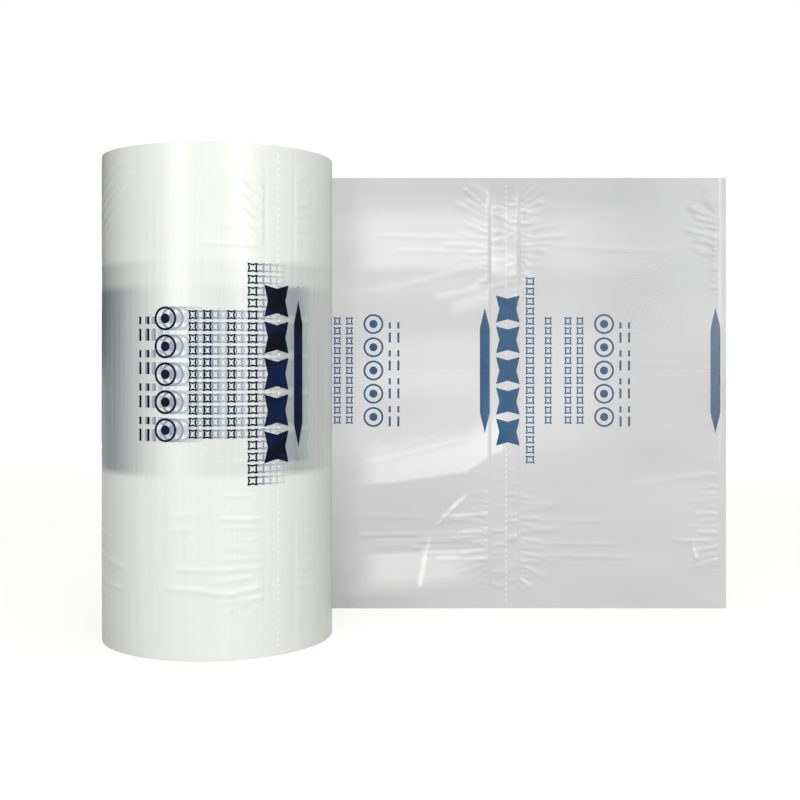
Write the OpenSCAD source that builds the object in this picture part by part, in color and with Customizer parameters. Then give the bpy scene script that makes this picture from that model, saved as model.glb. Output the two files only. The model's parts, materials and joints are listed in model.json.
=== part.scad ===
// Air pillow film roll: a two-ply plastic film web, welded into pillows and wound on a paper core.
// The roll stands on one end, with its axis on Z and the floor at Z = 0.
// The web leaves the back of the roll and runs out flat along +X.

/* [Film web] */
// Width of the film, which is also the height of the standing roll
film_w = 200; // [160:1:400]
// Diameter over the outermost turn
roll_d = 96.6; // [80:0.1:200]
// Length of the loose end, from where it leaves the roll to its cut edge
tail_l = 228.5; // [150:0.5:500]
// Thickness that the two plies are drawn at
web_t = 0.4; // [0.2:0.05:1]
// Length over which the leaving film still clings to the turn below
cling_l = 3; // [2:0.5:8]

/* [Turns] */
// Number of wound turns that are drawn on each end of the roll
turn_count = 12; // [4:1:24]
// Width of the gap between two drawn turns
turn_gap = 0.3; // [0.1:0.05:0.5]
// Depth of the gap between two drawn turns
turn_depth = 0.4; // [0.1:0.05:1]

/* [Paper core] */
// Diameter of the bore through the core
core_bore_d = 50.8; // [25:0.1:60]
// Wall of the core
core_wall = 3.2; // [1.5:0.1:6]

/* [Seals] */
// Length of one pillow, from perforation to perforation
pillow_l = 107.2; // [100:0.1:250]
// Distance between the two weld lines of a pair
seal_spacing = 13.5; // [8:0.1:30]
// Width of one weld line
seal_w = 1.4; // [0.6:0.1:4]
// Depth to which a weld line is pressed into the film
seal_depth = 0.1; // [0.02:0.01:0.15]
// Distance from a weld line's end to the edge of the film
seal_margin = 6; // [2:0.5:15]
// Length of one pucker beside a weld line
pucker_l = 3.2; // [1:0.1:6]
// Height of one pucker above the film
pucker_h = 0.15; // [0.05:0.01:0.4]
// Distance from one pucker to the next
pucker_pitch = 7; // [3:0.1:15]

/* [Perforation] */
// Distance from one slit to the next
slit_pitch = 2.6; // [1.5:0.1:6]
// Length of one slit
slit_l = 1.5; // [0.5:0.1:3]
// Width of one slit
slit_w = 0.4; // [0.1:0.05:1]
// Depth of a slit on the wound roll
slit_depth = 0.2; // [0.05:0.05:0.5]
// Distance of the perforation past the first weld line of its pair
perforation_offset = 7.6; // [2:0.1:12]
// Distance of the tail's middle perforation from where the web leaves the roll
tail_perforation = 126.2; // [110:0.1:140]
// Angle of the perforation on the front of the roll, from +X
roll_perforation = 307.5; // [280:0.5:330]

/* [Print] */
// Thickness that the ink is drawn at
ink_t = 0.1; // [0.05:0.01:0.3]
// Height of the print's middle above the middle of the film
print_rise = 10.5; // [0:0.5:20]
// Place of the long bar, from the perforation towards the free end
bar_place = -9.8; // [-14:0.1:-8]
// Width of the long bar
bar_w = 4.6; // [2:0.1:6]
// Length of the long bar
bar_l = 58; // [30:1:70]
// Place of the row of pillow marks
mark_place = 0.9; // [0:0.1:2]
// Width of one pillow mark
mark_w = 11; // [6:0.1:12]
// Height of one pillow mark
mark_h = 12.6; // [6:0.1:13]
// Distance from one pillow mark to the next
mark_pitch = 14.3; // [14:0.1:16]
// Number of pillow marks
mark_count = 5; // [3:1:5]
// How far the sides of a pillow mark draw in
mark_waist = 1.5; // [0.5:0.1:2.5]
// Place of the long chain of small pillows
long_chain_place = 11.2; // [9:0.1:13]
// Width of the long chain
long_chain_w = 4.2; // [3:0.1:5]
// Length of the long chain
long_chain_l = 88; // [50:1:100]
// Place of the single short chain
single_chain_place = 19.6; // [17:0.1:22]
// Place of the middle of the two paired short chains
paired_chain_place = 31.6; // [29:0.1:34]
// Distance between the two paired short chains
paired_chain_spacing = 5.6; // [4.5:0.1:7]
// Width of a short chain
short_chain_w = 3.4; // [2.5:0.1:4]
// Length of a short chain
short_chain_l = 51; // [30:1:70]
// Distance from one small pillow of a chain to the next
chain_pitch = 4.6; // [4:0.1:6]
// Gap between two small pillows of a chain
chain_gap = 0.8; // [0.4:0.1:1.2]
// Width of a small pillow's outline
chain_line = 0.7; // [0.4:0.05:1]
// How far the sides of a small pillow draw in
chain_waist = 0.4; // [0.1:0.05:0.6]
// Place of the column of rings
ring_place = 45.6; // [42:0.1:47]
// Outer diameter of one ring
ring_d = 9.3; // [6:0.1:10]
// Width of a ring's line
ring_w = 0.9; // [0.4:0.1:1.5]
// Diameter of the spot within a ring
spot_d = 3.8; // [2:0.1:4.5]
// Distance from one ring to the next
ring_pitch = 10.8; // [10.5:0.1:13]
// Number of rings
ring_count = 5; // [3:1:5]
// Place of the two fine rows beside the rings
fine_row_place = 55.2; // [53:0.1:60]
// Distance between the two fine rows
fine_row_spacing = 4; // [3:0.1:6]
// Width of a fine row
fine_row_w = 1; // [0.6:0.1:2.5]
// Length of a fine row
fine_row_l = 52; // [30:1:70]
// Distance from one dash of a fine row to the next
dash_pitch = 6.5; // [5:0.1:12]
// Gap between two dashes
dash_gap = 1.8; // [0.8:0.1:2.2]

/* [Hidden] */

$fn = 144;
cut = 1;
skim = 0.2;
roll_r = roll_d / 2;
core_r = core_bore_d / 2 + core_wall;

// The winding is a two-centre spiral: the left half turns lie about the roll's axis, and the right
// half turns, which pass under the loose end, lie about a centre half a thickness nearer the front.
right_shift = web_t / 2;
right_r = roll_r - right_shift;
turn_pitch = (roll_r - core_r) / turn_count;

first_seal = -perforation_offset;
second_seal = seal_spacing - perforation_offset;
seal_l = film_w - 2 * seal_margin;
print_z = film_w / 2 + print_rise;

// Perforations on the loose end, and those on the outermost turn
tail_marks = [for (k = [-4 : 8]) tail_perforation + k * pillow_l];
roll_marks = [for (k = [-1 : 1]) roll_perforation + k * web_arc(pillow_l)];
turn_start = 90;
turn_end = 450;

// The print's columns, each with its place from the perforation and its width
columns = [
    ["bar", bar_place, bar_w],
    ["marks", mark_place, mark_w],
    ["long_chain", long_chain_place, long_chain_w],
    ["short_chain", single_chain_place, short_chain_w],
    ["short_chain", paired_chain_place - paired_chain_spacing / 2, short_chain_w],
    ["short_chain", paired_chain_place + paired_chain_spacing / 2, short_chain_w],
    ["rings", ring_place, ring_d],
    ["fine_row", fine_row_place - fine_row_spacing / 2, fine_row_w],
    ["fine_row", fine_row_place + fine_row_spacing / 2, fine_row_w]
];

// Angle that a length of web takes up on the outermost turn
function web_arc(length) = length / roll_r * 180 / PI;

// Angle on the roll of a place along the web, which runs clockwise towards the free end
function web_angle(mark, place) = mark - web_arc(place);

// True where a strip of the loose end lies between the roll and the cut edge
function on_tail(place, width) = place - width / 2 > cling_l && place + width / 2 < tail_l - cut;

// True where a strip lies on the outermost turn and clear of the loose end's root
function on_turn(angle, width) =
    angle - web_arc(width / 2) > turn_start && angle + web_arc(width / 2 + 2 * cling_l) < turn_end;

// Half ring from the angle 90 to 270 (side -1), or on the other side of Y (side 1)
module half_ring(side, inner_r, outer_r, height) {
    shift = side > 0 ? right_shift : 0;
    translate([0, -shift, 0])
        rotate([0, 0, side > 0 ? -90 : 90])
            rotate_extrude(angle = 180)
                translate([inner_r, 0])
                    square([outer_r - inner_r, height]);
}

// Solid of the wound turns
module wound_turns() {
    half_ring(-1, core_r / 2, roll_r, film_w);
    half_ring(1, core_r / 2, right_r, film_w);
}

// Loose end, with the short stretch where it clings to the turn below
module loose_end() {
    translate([0, roll_r - web_t, 0])
        cube([tail_l, web_t, film_w]);
    translate([0, roll_r - 2 * web_t, 0])
        cube([cling_l, 1.5 * web_t, film_w]);
}

// Gaps between the turns, as seen on one end
module turn_gaps() {
    for (k = [1 : turn_count - 1]) {
        gap_r = core_r + k * turn_pitch;
        half_ring(-1, gap_r - turn_gap / 2, gap_r + turn_gap / 2, turn_depth + cut);
        translate([0, right_shift - turn_pitch / 2, 0])
            half_ring(1, gap_r - (turn_pitch + turn_gap) / 2, gap_r - (turn_pitch - turn_gap) / 2,
                turn_depth + cut);
    }
}

// Weld lines of one pair on the loose end
module tail_seals(mark) {
    for (place = [mark + first_seal, mark + second_seal])
        if (on_tail(place, seal_w))
            translate([place - seal_w / 2, roll_r - web_t - cut, seal_margin])
                cube([seal_w, cut + seal_depth, seal_l]);
}

// Weld lines of one pair on the outermost turn
module roll_seals(mark) {
    for (place = [first_seal, second_seal])
        if (on_turn(web_angle(mark, place), seal_w))
            on_roll(web_angle(mark, place))
                translate([-seal_depth, -seal_w / 2, seal_margin])
                    cube([seal_depth + skim, seal_w, seal_l]);
}

// Puckers that stand out beside the weld lines of one pair on the loose end
module tail_puckers(mark) {
    rows = floor(seal_l / pucker_pitch);
    start = seal_margin + (seal_l - rows * pucker_pitch) / 2;
    for (place = [mark + first_seal - (seal_w + pucker_l) / 2, mark + second_seal + (seal_w + pucker_l) / 2])
        if (on_tail(place, pucker_l))
            for (k = [0 : rows - 1])
                translate([place - pucker_l / 2, roll_r - web_t - pucker_h, start + k * pucker_pitch])
                    cube([pucker_l, pucker_h + web_t / 4, pucker_h * 4]);
}

// Row of slits, one above another, as boxes that reach a given depth below X = 0
module slit_row(depth) {
    rows = floor((film_w - slit_pitch) / slit_pitch);
    start = (film_w - (rows - 1) * slit_pitch) / 2;
    for (k = [0 : rows - 1])
        translate([-depth, -slit_w / 2, start + k * slit_pitch - slit_l / 2])
            cube([depth + skim, slit_w, slit_l]);
}

// Moves a shape made at X = 0 out to the surface of the outermost turn, at an angle
module on_roll(angle) {
    right = angle > 270;
    translate([0, right ? -right_shift : 0, 0])
        rotate([0, 0, angle])
            translate([right ? right_r : roll_r, 0, 0])
                children();
}

module film_web() {
    color([0.92, 0.94, 0.93, 0.6])
        difference() {
            union() {
                wound_turns();
                loose_end();
                for (mark = tail_marks)
                    tail_puckers(mark);
            }
            translate([0, 0, -cut])
                cylinder(r = core_r, h = film_w + 2 * cut);
            translate([0, 0, -cut])
                turn_gaps();
            translate([0, 0, film_w - turn_depth])
                turn_gaps();
            for (mark = tail_marks) {
                tail_seals(mark);
                if (on_tail(mark, slit_w))
                    translate([mark, roll_r - web_t, 0])
                        rotate([0, 0, 90])
                            translate([web_t, 0, 0])
                                slit_row(web_t + cut);
            }
            for (mark = roll_marks) {
                roll_seals(mark);
                if (on_turn(mark, slit_w))
                    on_roll(mark)
                        slit_row(slit_depth);
            }
        }
}

module paper_core() {
    color([0.72, 0.58, 0.42])
        difference() {
            cylinder(r = core_r, h = film_w);
            translate([0, 0, -cut])
                cylinder(d = core_bore_d, h = film_w + 2 * cut);
        }
}

// Flat drawing of a row of dashes, long and short by turns
module dash_row(width, length) {
    dashes = floor(length / dash_pitch);
    for (k = [0 : dashes - 1])
        translate([-width / 2, (k - dashes / 2) * dash_pitch])
            square([width, k % 2 == 0 ? dash_pitch - dash_gap : dash_pitch - 2 * dash_gap]);
}

// Flat drawing of a bar with pointed ends
module pointed_bar() {
    tip = bar_w * 2;
    polygon([
        [0, -bar_l / 2], [bar_w / 2, tip - bar_l / 2], [bar_w / 2, bar_l / 2 - tip],
        [0, bar_l / 2], [-bar_w / 2, bar_l / 2 - tip], [-bar_w / 2, tip - bar_l / 2]
    ]);
}

// Flat drawing of one pillow, with four sides that draw in to a waist
module pillow(width, height, waist) {
    polygon([
        [-width / 2, -height / 2], [0, waist - height / 2], [width / 2, -height / 2],
        [width / 2 - waist, 0], [width / 2, height / 2], [0, height / 2 - waist],
        [-width / 2, height / 2], [waist - width / 2, 0]
    ]);
}

// Flat drawing of a chain of small outlined pillows
module pillow_chain(width, length) {
    links = floor(length / chain_pitch);
    height = chain_pitch - chain_gap;
    for (k = [0 : links - 1])
        translate([0, (k - (links - 1) / 2) * chain_pitch])
            difference() {
                pillow(width, height, chain_waist);
                pillow(width - 2 * chain_line, height - 2 * chain_line, chain_waist);
            }
}

// Flat drawing of a ring with a spot in it
module spotted_ring() {
    difference() {
        circle(d = ring_d);
        circle(d = ring_d - 2 * ring_w);
    }
    circle(d = spot_d);
}

// Flat drawing of one column of the print, centred on its place
module print_column(kind) {
    if (kind == "bar")
        pointed_bar();
    if (kind == "marks")
        for (k = [0 : mark_count - 1])
            translate([0, (k - (mark_count - 1) / 2) * mark_pitch])
                pillow(mark_w, mark_h, mark_waist);
    if (kind == "long_chain")
        pillow_chain(long_chain_w, long_chain_l);
    if (kind == "short_chain")
        pillow_chain(short_chain_w, short_chain_l);
    if (kind == "rings")
        for (k = [0 : ring_count - 1])
            translate([0, (k - (ring_count - 1) / 2) * ring_pitch])
                spotted_ring();
    if (kind == "fine_row")
        dash_row(fine_row_w, fine_row_l);
}

// Thin skin of ink round the outermost turn
module ink_skin() {
    half_ring(-1, roll_r, roll_r + ink_t, film_w);
    half_ring(1, right_r, right_r + ink_t, film_w);
}

module print_on_roll() {
    color([0.07, 0.16, 0.36])
        intersection() {
            ink_skin();
            for (mark = roll_marks)
                for (column = columns)
                    if (on_turn(web_angle(mark, column[1]), column[2]))
                        rotate([0, 0, web_angle(mark, column[1])])
                            translate([roll_r - 2 * cut, 0, print_z])
                                rotate([90, 0, 90])
                                    linear_extrude(height = 4 * cut)
                                        print_column(column[0]);
        }
}

module print_on_tail() {
    color([0.2, 0.42, 0.62])
        for (mark = tail_marks)
            for (column = columns)
                if (on_tail(mark + column[1], column[2]))
                    translate([mark + column[1], roll_r + ink_t, print_z])
                        rotate([90, 0, 0])
                            linear_extrude(height = ink_t)
                                print_column(column[0]);
}

film_web();
paper_core();
print_on_roll();
print_on_tail();
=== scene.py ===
import json
import math

import bpy
import numpy as np
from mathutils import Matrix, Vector


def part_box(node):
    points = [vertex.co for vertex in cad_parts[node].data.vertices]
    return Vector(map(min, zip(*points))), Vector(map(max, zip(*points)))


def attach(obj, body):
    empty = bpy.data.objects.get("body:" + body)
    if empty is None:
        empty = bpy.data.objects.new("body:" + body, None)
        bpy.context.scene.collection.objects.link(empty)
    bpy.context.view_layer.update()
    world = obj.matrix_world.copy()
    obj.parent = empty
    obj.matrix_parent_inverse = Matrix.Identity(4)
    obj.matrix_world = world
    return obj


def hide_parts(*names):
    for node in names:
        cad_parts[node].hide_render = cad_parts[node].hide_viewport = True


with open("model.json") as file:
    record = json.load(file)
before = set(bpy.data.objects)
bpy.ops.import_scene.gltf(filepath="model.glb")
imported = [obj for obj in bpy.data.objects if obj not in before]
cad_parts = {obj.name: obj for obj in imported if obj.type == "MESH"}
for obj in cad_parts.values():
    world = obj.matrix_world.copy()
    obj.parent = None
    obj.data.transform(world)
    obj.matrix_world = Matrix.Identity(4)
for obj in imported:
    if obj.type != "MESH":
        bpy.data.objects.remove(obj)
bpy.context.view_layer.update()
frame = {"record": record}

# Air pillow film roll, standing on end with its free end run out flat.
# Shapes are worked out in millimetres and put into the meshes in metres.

mm = 0.001

webLow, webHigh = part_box("film_web")
rollR = -webLow.x / mm  # outer face of the outermost turn, where the web leaves the roll
filmW = webHigh.z / mm  # width of the film, which is the roll's height
tailL = webHigh.x / mm  # from where the web leaves the roll to its cut edge
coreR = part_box("paper_core")[1].x / mm
boreR = frame["record"]["mounts"][0]["dims"]["r_mm"]

# Places along the web run from 0, where the film leaves the roll: up to tailL on the free end,
# and down to -turnL round the outermost turn, clockwise as seen from above.
turnL = 2 * math.pi * rollR
webT = 0.4  # drawn thickness of the two plies, as in the frame
pillowL = 107.2
tailPerforation = 126.2
rollPerforation = -math.radians(307.5 - 90) * rollR
tailMarks = tailPerforation + pillowL * np.array([-1, 0, 1])
rollMarks = rollPerforation + pillowL * np.array([-1, 0, 1])
weldPlaces = {"first": -7.6, "second": 5.9}  # both from their perforation
weldWidth = 1.4
slits = {"pitch": 2.6, "length": 1.5, "width": 0.2, "lips": 0.5}  # lips: width over both torn edges


def smoothStep(low, high, x):  # 3t^2 - 2t^3, with t the share of the way from low to high
    t = np.clip((x - low) / (high - low), 0, 1)
    return t * t * (3 - 2 * t)


def plateau(start, full, fall, end, x):  # rises smoothly to 1 at full, and falls to 0 from fall to end
    return smoothStep(start, full, x) * (1 - smoothStep(fall, end, x))


def bell(x, middle, spread):  # Gaussian bell, 1 at its middle
    return np.exp(-0.5 * ((x - middle) / spread) ** 2)


def roundAxis(radius, angle, z):  # points from radius, angle and height
    return np.stack(np.broadcast_arrays(radius * np.cos(angle), radius * np.sin(angle), z), -1)


# Faces of a closed shell: an outer grid of points, then an inner one. A cell that isn't kept is a
# hole, and a wall joins the two grids wherever a kept cell has no neighbour.
def shellFaces(across, up, keep=None, wrap=False):
    index = np.arange(across * up).reshape(across, up)
    if wrap:
        index = np.vstack([index, index[:1]])
    a, b, c, d = index[:-1, :-1], index[1:, :-1], index[1:, 1:], index[:-1, 1:]
    kept = np.ones(a.shape, bool) if keep is None else keep
    before, after = np.roll(kept, 1, 0), np.roll(kept, -1, 0)
    below, above = np.roll(kept, 1, 1), np.roll(kept, -1, 1)
    if not wrap:
        before[0] = after[-1] = False
    below[:, 0] = above[:, -1] = False
    inner = across * up
    skin = np.stack([a, b, c, d], -1)[kept]
    faces = [skin, skin[:, ::-1] + inner]
    for p, q, near in ((b, a, below), (c, b, after), (d, c, above), (a, d, before)):
        faces.append(np.stack([p, q, q + inner, p + inner], -1)[kept & ~near])
    return np.concatenate(faces)


# Faces of a grid that closes on itself both ways, such as a closed profile swept round an axis
def ringFaces(around, along):
    index = np.arange(around * along).reshape(around, along)
    nextColumn = np.roll(index, -1, 0)
    corners = [index, nextColumn, np.roll(nextColumn, -1, 1), np.roll(index, -1, 1)]
    return np.stack(corners, -1).reshape(-1, 4)


# Puts points (mm) and four-cornered faces into a new object, smooth but for edges past creaseAngle
def makePiece(name, points, faces, material, creaseAngle=40):
    points = np.asarray(points, float).reshape(-1, 3)
    mesh = bpy.data.meshes.new(name)
    mesh.vertices.add(len(points))
    mesh.vertices.foreach_set("co", (points * mm).astype(np.float32).ravel())
    mesh.loops.add(faces.size)
    mesh.loops.foreach_set("vertex_index", faces.astype(np.int32).ravel())
    mesh.polygons.add(len(faces))
    mesh.polygons.foreach_set("loop_start", np.arange(0, faces.size, 4, dtype=np.int32))
    mesh.update(calc_edges=True)
    mesh.shade_smooth()
    mesh.set_sharp_from_angle(angle=math.radians(creaseAngle))
    mesh.materials.append(material)
    piece = bpy.data.objects.new(name, mesh)
    bpy.context.scene.collection.objects.link(piece)
    print("made", name, "with", 2 * len(faces), "triangles")
    return piece


# One number per vertex, which the materials read by name
def addValues(piece, name, values):
    layer = piece.data.attributes.new(name, "FLOAT", "POINT")
    layer.data.foreach_set("value", np.asarray(values, np.float32).ravel())


cameraSetup = {
    "place": (76.96, -510.6, 119.1),  # mm; it looks along +Y and is level
    "lens": 54.09,
    "shift": -0.06,  # the photograph's horizon is a little above its middle
}

camera = bpy.data.objects.new("camera", bpy.data.cameras.new("camera"))
camera.data.lens = cameraSetup["lens"]
camera.data.sensor_width = 36
camera.data.shift_y = cameraSetup["shift"]
camera.data.clip_start = 0.01
camera.location = Vector(cameraSetup["place"]) * mm
camera.rotation_euler = (math.radians(90), 0, 0)
bpy.context.scene.collection.objects.link(camera)
bpy.context.scene.camera = camera

# Lamps: place and aim in metres, size in metres, and the brightness of the lamp's face
lampSetup = {
    "keyLeft": {"place": (-0.75, -1.30, 0.56), "aim": (0, 0, 0.1), "size": (0.6, 1.1), "level": 3.75},
    "keyRight": {"place": (0.75, -1.30, 0.56), "aim": (0, 0, 0.1), "size": (0.6, 1.1), "level": 3.5},
    "frontBox": {"place": (-0.12, -1.25, 0.90), "aim": (0, 0, 0.05), "size": (0.6, 0.5), "level": 6.9},
    "topBox": {"place": (0.10, -0.40, 1.60), "aim": (0.05, 0, 0.1), "size": (1.0, 0.8), "level": 1.8},
}
for name, lamp in lampSetup.items():
    light = bpy.data.lights.new(name, "AREA")
    light.shape = "RECTANGLE"
    light.size, light.size_y = lamp["size"]
    light.energy = lamp["level"] * math.pi * light.size * light.size_y
    thing = bpy.data.objects.new(name, light)
    thing.location = lamp["place"]
    thing.rotation_mode = "QUATERNION"
    thing.rotation_quaternion = (Vector(lamp["aim"]) - Vector(lamp["place"])).to_track_quat("-Z", "Y")
    thing.visible_camera = False
    bpy.context.scene.collection.objects.link(thing)
bpy.context.scene.view_settings.view_transform = "Standard"
print("camera and lamps stand")


def hexColour(code):  # sRGB hex to linear
    parts = [int(code[k:k + 2], 16) / 255 for k in (1, 3, 5)]
    return tuple(c / 12.92 if c <= 0.04045 else ((c + 0.055) / 1.055) ** 2.4 for c in parts) + (1.0,)


# Adds a shader node with its properties, and sets or links its sockets. A node given as a value is
# linked by its first output.
def addNode(tree, kind, sockets=(), **properties):
    node = tree.nodes.new("ShaderNode" + kind)
    for name, value in properties.items():
        setattr(node, name, value)
    for place, value in dict(sockets).items():
        if isinstance(value, bpy.types.Node):
            value = value.outputs[0]
        if isinstance(value, bpy.types.NodeSocket):
            tree.links.new(value, node.inputs[place])
        else:
            node.inputs[place].default_value = value
    return node


def newMaterial(name):  # an empty material, its node tree, and the Object coordinates in it
    material = bpy.data.materials.new(name)
    material.use_nodes = True
    tree = material.node_tree
    tree.nodes.clear()
    return material, tree, addNode(tree, "TexCoord").outputs["Object"]


def closeMaterial(material, shader):  # ends a material with its shader
    addNode(material.node_tree, "OutputMaterial", {"Surface": shader})
    return material


filmLook = {
    "white": "#EEF0EC",
    "haze": "#90979A",  # the ink of many turns, seen through the turns above
    "lip": "#FFFFFF",  # torn edges of the slits
    "roughness": 0.24,
    "ior": 1.51,
    "gloss": 0.42,
    "streakPitch": 1.6,  # mm between the faint lines along the roll
    "streakTones": (0.965, 1.0),
    "hazeGrain": (1.09, 0.91),  # the streaks' share in the haze
    "streakBump": {"Strength": 0.06, "Distance": 0.2 * mm},
    "creaseSize": 5.0,
    "creaseBump": {"Strength": 0.25, "Distance": 0.3 * mm},
}


# Low-density polyethylene film, blown, slit and wound tight: hundreds of clear turns look milky
# white, with a wet gloss that faint lines along the roll break up
def makeWoundFilm(name, base):
    material, tree, place = newMaterial(name)
    lines = addNode(tree, "Mapping", {"Vector": place, "Scale": (1, 1, 0.02)})
    streaks = addNode(tree, "TexNoise", {
        "Vector": lines, "Scale": 1 / (filmLook["streakPitch"] * mm), "Detail": 3.0, "Roughness": 0.6,
    })
    tone, grain = [addNode(tree, "MapRange", {
        "Value": streaks, "From Min": 0.3, "From Max": 0.7, "To Min": low, "To Max": high,
    }) for low, high in (filmLook["streakTones"], filmLook["hazeGrain"])]
    shaded = addNode(tree, "Mix", {0: 1.0, 6: hexColour(base), 7: tone},
                     data_type="RGBA", blend_type="MULTIPLY").outputs[2]
    haze = addNode(tree, "Attribute", attribute_name="haze").outputs["Fac"]
    depth = addNode(tree, "Math", {0: haze, 1: grain}, operation="MULTIPLY")
    lip = addNode(tree, "Attribute", attribute_name="lip").outputs["Fac"]
    for share, colour in ((depth, filmLook["haze"]), (lip, filmLook["lip"])):
        shaded = addNode(tree, "Mix", {0: share, 6: shaded, 7: hexColour(colour)},
                         data_type="RGBA").outputs[2]
    crinkle = addNode(tree, "TexNoise", {
        "Vector": place, "Scale": 1 / (filmLook["creaseSize"] * mm), "Detail": 4.0, "Roughness": 0.55,
    })
    fine = addNode(tree, "Bump", {"Height": streaks, **filmLook["streakBump"]})
    bump = addNode(tree, "Bump", {"Height": crinkle, "Normal": fine, **filmLook["creaseBump"]})
    return closeMaterial(material, addNode(tree, "BsdfPrincipled", {
        "Base Color": shaded, "Roughness": filmLook["roughness"], "IOR": filmLook["ior"],
        "Specular IOR Level": filmLook["gloss"], "Normal": bump,
    }))


woundFilm = makeWoundFilm("polyethyleneFilmWound", filmLook["white"])

tailLook = {
    "veil": "#5E6160",
    "opacity": 0.215,  # of one ply
    "opacityChange": 0.02,
    "clearing": 0.115,  # opacity taken off per unit of share: the plies' parting and painted highlights take it off, painted shade adds it
    "patchSize": 45,
    "patchStretch": (0.5, 1, 1.6),
    "crinkleSize": 6,
    "crinkleStretch": (0.22, 1, 1.1),
    "crinkleBump": {"Strength": 0.12, "Distance": 0.5 * mm},
    "roughness": 0.24,
    "coatRoughness": 0.2,
}


# Two loose plies of clear low-density polyethylene: a grey veil before a white ground, glossy, clearer
# where the plies part and hazier where they touch; painted highlights and painted shade ride in its opacity
def makeClearFilm():
    material, tree, place = newMaterial("polyethyleneFilmClear")
    stretched = addNode(tree, "Mapping", {"Vector": place, "Scale": tailLook["patchStretch"]})
    patches = addNode(tree, "TexNoise", {
        "Vector": stretched, "Scale": 1 / (tailLook["patchSize"] * mm), "Detail": 3.0, "Roughness": 0.45,
    })
    hazy = addNode(tree, "MapRange", {
        "Value": patches, "From Min": 0.3, "From Max": 0.7,
        "To Min": tailLook["opacity"] - tailLook["opacityChange"],
        "To Max": tailLook["opacity"] + tailLook["opacityChange"],
    })
    # painted highlights and painted shade, with the plies' parting: a share that takes opacity off
    parted = addNode(tree, "Attribute", attribute_name="parted").outputs["Fac"]
    paintedLightCleared = addNode(tree, "Math", {0: parted, 1: tailLook["clearing"]}, operation="MULTIPLY")
    opacity = addNode(tree, "Math", {0: hazy, 1: paintedLightCleared}, operation="SUBTRACT")
    drawn = addNode(tree, "Mapping", {"Vector": place, "Scale": tailLook["crinkleStretch"]})
    crinkle = addNode(tree, "TexNoise", {
        "Vector": drawn, "Scale": 1 / (tailLook["crinkleSize"] * mm), "Detail": 4.0, "Roughness": 0.55,
    })
    bump = addNode(tree, "Bump", {"Height": crinkle, **tailLook["crinkleBump"]})
    return closeMaterial(material, addNode(tree, "BsdfPrincipled", {
        "Base Color": hexColour(tailLook["veil"]), "Roughness": tailLook["roughness"],
        "IOR": filmLook["ior"], "Specular IOR Level": 1.0, "Coat Weight": 1.0,
        "Coat Roughness": tailLook["coatRoughness"], "Alpha": opacity, "Normal": bump,
    }))


clearFilm = makeClearFilm()

inkLook = {
    "navy": ("#020510", "#051B44"),
    "navyRoughness": 0.45,
    "navyGloss": 0.12,
    "blue": ("#0B3560", "#15578C"),
    "blueRoughness": 0.4,
    "blueLight": ("#55AED2", "#419DC8"),  # what one face of the ink lets through
    "blueCover": 0.2,  # share of one face that hides what is behind
    "ior": 1.5,
    "blotSize": 14,
}


# Two tones that change over slow blots, as a thin coat of ink does
def inkTones(tree, place, tones):
    blots = addNode(tree, "TexNoise", {
        "Vector": place, "Scale": 1 / (inkLook["blotSize"] * mm), "Detail": 5.0, "Roughness": 0.6,
    })
    share = addNode(tree, "MapRange", {"Value": blots, "From Min": 0.42, "From Max": 0.62})
    return addNode(tree, "Mix", {0: share, 6: hexColour(tones[0]), 7: hexColour(tones[1])},
                   data_type="RGBA").outputs[2]


# Flexographic ink on the roll: opaque over so many white turns, near black where it lies thick
def makeNavyInk():
    material, tree, place = newMaterial("flexographicInkNavy")
    return closeMaterial(material, addNode(tree, "BsdfPrincipled", {
        "Base Color": inkTones(tree, place, inkLook["navy"]), "Roughness": inkLook["navyRoughness"],
        "IOR": inkLook["ior"], "Specular IOR Level": inkLook["navyGloss"],
    }))


# The same ink on the loose film: light comes through it, so it reads as a clear steel blue
def makeBlueInk():
    material, tree, place = newMaterial("flexographicInkBlue")
    cover = addNode(tree, "BsdfPrincipled", {
        "Base Color": inkTones(tree, place, inkLook["blue"]), "Roughness": inkLook["blueRoughness"],
        "IOR": inkLook["ior"],
    })
    through = addNode(tree, "BsdfTransparent", {"Color": inkTones(tree, place, inkLook["blueLight"])})
    mixed = addNode(tree, "MixShader", {0: inkLook["blueCover"], 1: through, 2: cover})
    return closeMaterial(material, mixed)


navyInk = makeNavyInk()
blueInk = makeBlueInk()

boardLook = {
    "kraft": ("#B08A5F", "#8D6A45"),
    "fibreSize": 2.5,
    "fibreBump": {"Strength": 0.4, "Distance": 0.15 * mm},
    "roughness": 0.85,
}


# Spiral-wound kraft board: matt brown paper with short fibres in two browns
def makeBoard():
    material, tree, place = newMaterial("kraftBoard")
    fibres = addNode(tree, "TexNoise", {
        "Vector": place, "Scale": 1 / (boardLook["fibreSize"] * mm), "Detail": 8.0, "Roughness": 0.7,
    })
    share = addNode(tree, "MapRange", {"Value": fibres, "From Min": 0.35, "From Max": 0.65})
    light, dark = [hexColour(tone) for tone in boardLook["kraft"]]
    colour = addNode(tree, "Mix", {0: share, 6: light, 7: dark}, data_type="RGBA").outputs[2]
    bump = addNode(tree, "Bump", {"Height": fibres, **boardLook["fibreBump"]})
    return closeMaterial(material, addNode(tree, "BsdfPrincipled", {
        "Base Color": colour, "Roughness": boardLook["roughness"], "IOR": 1.45, "Normal": bump,
    }))


kraftBoard = makeBoard()
print("materials mixed")


# One crease: a ridge of bell section along a short straight line, which fades out past its ends
def oneCrease(crease, w, z):
    startW, startZ, endW, endZ, spread, rise = crease
    length = math.hypot(endW - startW, endZ - startZ)
    dirW, dirZ = (endW - startW) / length, (endZ - startZ) / length
    along = (w - startW) * dirW + (z - startZ) * dirZ
    aside = (z - startZ) * dirW - (w - startW) * dirZ
    beyond = np.maximum(np.maximum(-along, along - length), 0)
    return rise * np.exp(-0.5 * ((aside / spread) ** 2 + (beyond / (1.8 * spread)) ** 2))


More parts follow.
